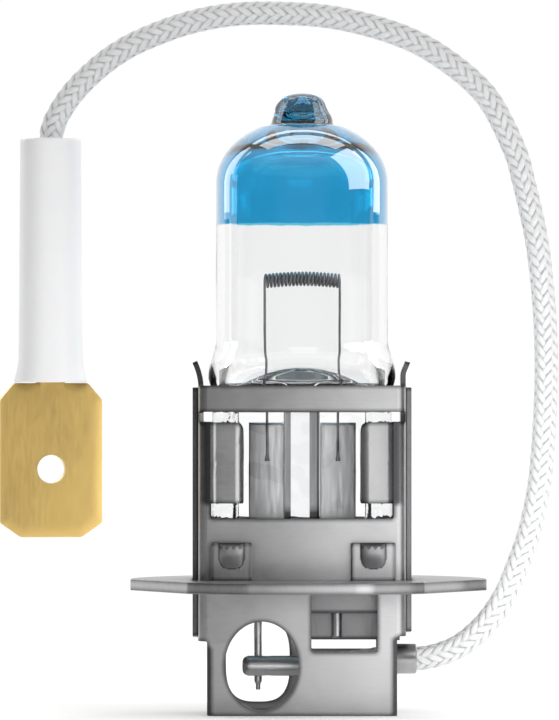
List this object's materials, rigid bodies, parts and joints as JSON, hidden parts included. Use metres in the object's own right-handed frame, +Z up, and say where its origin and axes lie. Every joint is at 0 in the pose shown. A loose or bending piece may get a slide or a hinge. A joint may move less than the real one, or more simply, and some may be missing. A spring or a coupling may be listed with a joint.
{
  "type": "headlight bulb",
  "caption": "Halogen headlight bulb with a blue-tinted quartz top, sheet-steel cap with prefocus flange, and a braided fly lead ending in a brass blade.",
  "frame": {"origin": "on the lamp axis, at the cut lower edge of the cap, which it stands on", "axes": "+Z up the lamp axis towards the exhaust tip, -Y out of the cap's front with its window, +X the side where the fly lead leaves the cap"},
  "size_m": [0.0344, 0.0213, 0.0438],
  "materials": {
    "quartz": "clear fused quartz, its top coated blue",
    "tungsten": "dark drawn tungsten wire",
    "molybdenum": "thin satin foil and wire",
    "cap_steel": "satin stainless sheet",
    "flange_steel": "satin stainless plate",
    "tube_steel": "satin plated tube",
    "tinned_copper": "tinned copper strands",
    "insulation": "smooth white insulation",
    "glass_fibre": "white glass-fibre braid",
    "white_sleeve": "smooth white sleeve",
    "brass": "satin stamped brass"
  },
  "bodies": {
    "root": {"quartz_envelope": "quartz", "filament": "tungsten", "foil_feed": "molybdenum", "foil_ground": "molybdenum", "lead_feed": "molybdenum", "lead_ground": "molybdenum", "front_shell": "cap_steel", "back_shell": "cap_steel", "flange": "flange_steel", "earth_bracket": "cap_steel", "crimp_tube": "tube_steel", "exit_ferrule": "tube_steel", "conductor": "tinned_copper", "wire_insulation": "insulation", "wire_braid": "glass_fibre", "terminal_sleeve": "white_sleeve", "blade_terminal": "brass"}
  },
  "joints": []
}
